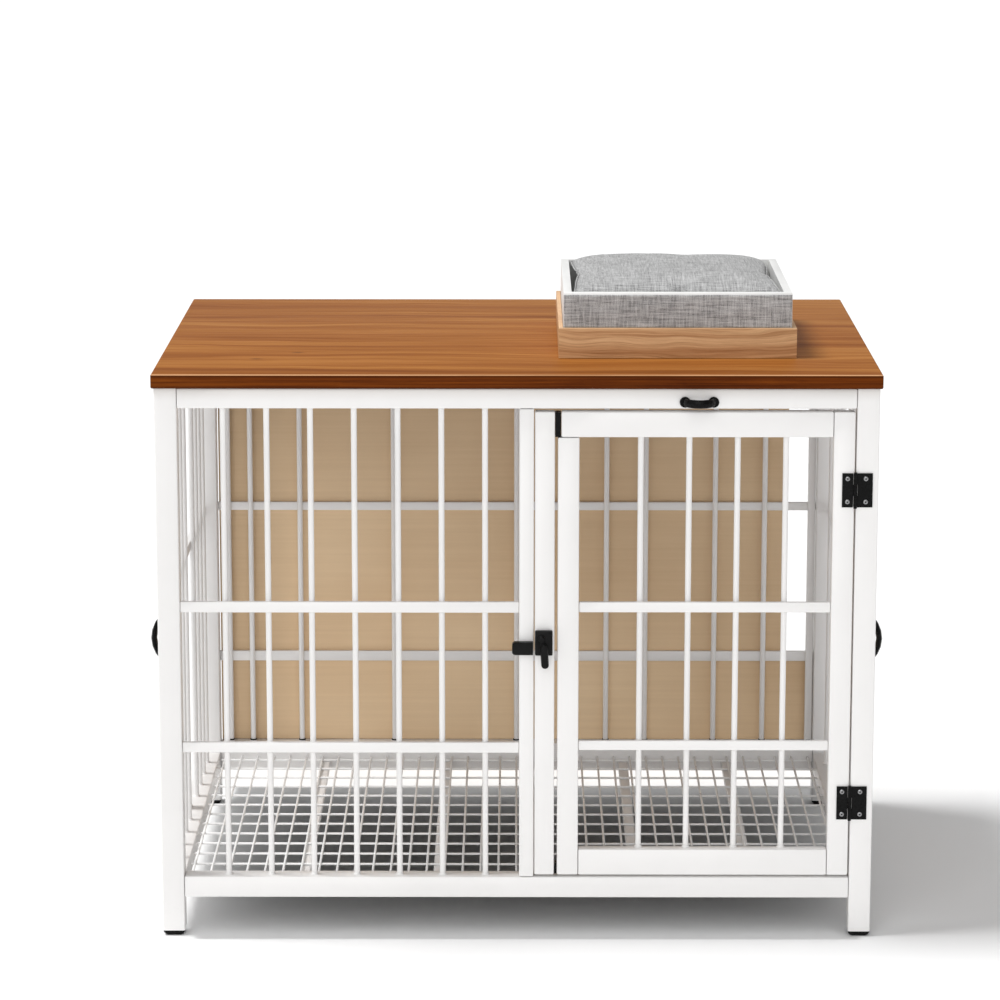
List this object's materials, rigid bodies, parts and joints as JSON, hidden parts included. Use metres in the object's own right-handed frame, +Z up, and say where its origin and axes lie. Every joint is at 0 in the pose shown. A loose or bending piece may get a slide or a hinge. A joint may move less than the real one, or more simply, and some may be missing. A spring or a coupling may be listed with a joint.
{
  "type": "furniture dog crate",
  "caption": "Furniture-style dog crate: white barred steel frame under a wooden top board, with a latched swing door, wire mesh floor and a lift-off tray bed on top.",
  "frame": {"origin": "on the ground, under the centre of the whole crate's box", "axes": "+X to the right along the crate's length, +Y from the door to the back, +Z up"},
  "size_m": [1.0796, 0.7278, 0.9177],
  "materials": {
    "white_steel": "white satin powder coat",
    "wire": "white dipped coating",
    "walnut": "warm brown wood-grain, satin",
    "tan_board": "tan matte board",
    "black_steel": "black satin powder coat",
    "black_plastic": "black, fine grain",
    "bolt_steel": "bare steel",
    "ash": "light wood, oiled",
    "white_board": "white painted board",
    "grey_fabric": "grey heather linen weave"
  },
  "bodies": {
    "crate": {"top_board": "walnut", "post_front_left": "white_steel", "post_front_right": "white_steel", "post_back_left": "white_steel", "post_back_right": "white_steel", "foot_front_left": "black_plastic", "foot_front_right": "black_plastic", "foot_back_left": "black_plastic", "foot_back_right": "black_plastic", "top_rail_front": "white_steel", "top_rail_back": "white_steel", "top_rail_left": "white_steel", "top_rail_right": "white_steel", "bottom_rail_front": "white_steel", "bottom_rail_back": "white_steel", "bottom_rail_left": "white_steel", "bottom_rail_right": "white_steel", "centre_post": "white_steel", "front_grille": "white_steel", "left_grille": "white_steel", "right_grille": "white_steel", "back_grille": "white_steel", "back_board_lower": "tan_board", "back_board_middle": "tan_board", "back_board_upper": "tan_board", "floor_mesh": "wire", "floor_bar_1": "white_steel", "floor_bar_2": "white_steel", "floor_bar_3": "white_steel", "floor_bar_4": "white_steel", "front_handle": "black_steel", "side_handle_left": "black_steel", "side_handle_right": "black_steel", "latch_keeper": "black_plastic", "hinge_lower_post_leaf": "black_steel", "hinge_upper_post_leaf": "black_steel", "hinge_lower_pin": "black_steel", "hinge_upper_pin": "black_steel"},
    "door": {"door_hinge_stile": "white_steel", "door_free_stile": "white_steel", "door_top_rail": "white_steel", "door_bottom_rail": "white_steel", "latch_stile": "white_steel", "door_grille": "white_steel", "stile_link_top": "black_steel", "stile_link_bottom": "black_steel", "hinge_lower_door_leaf": "black_steel", "hinge_upper_door_leaf": "black_steel", "latch_case": "black_plastic"},
    "lever": {"latch_lever": "black_plastic"},
    "bolt": {"latch_bolt": "bolt_steel"},
    "tray": {"tray_walls": "ash", "tray_base": "ash"},
    "bed_box": {"bed_box_walls": "white_board", "bed_box_base": "white_board"},
    "cushion": {"bed_cushion": "grey_fabric"}
  },
  "joints": [
    {"name": "door_swing", "type": "hinge", "parent": "crate", "child": "door", "pos_m": [0.4645, -0.3428, 0.0894], "axis": [0, 0, 1], "range_deg": [0, 170]},
    {"name": "latch_turn", "type": "hinge", "parent": "door", "child": "lever", "pos_m": [0.0343, -0.3493, 0.4315], "axis": [0, -1, 0], "range_deg": [0, 90]},
    {"name": "latch_slide", "type": "slide", "parent": "door", "child": "bolt", "axis": [-1, 0, 0], "range_m": [0, 0.012]},
    {"name": "tray_lift", "type": "slide", "parent": "crate", "child": "tray", "axis": [0, 0, 1], "range_m": [0, 0.25]},
    {"name": "bed_box_lift", "type": "slide", "parent": "tray", "child": "bed_box", "axis": [0, 0, 1], "range_m": [0, 0.15]},
    {"name": "cushion_lift", "type": "slide", "parent": "bed_box", "child": "cushion", "axis": [0, 0, 1], "range_m": [0, 0.15]}
  ],
  "couplings": [
    {"joint": "latch_slide", "follows": "latch_turn", "m_per_rad": 0.00763}
  ]
}
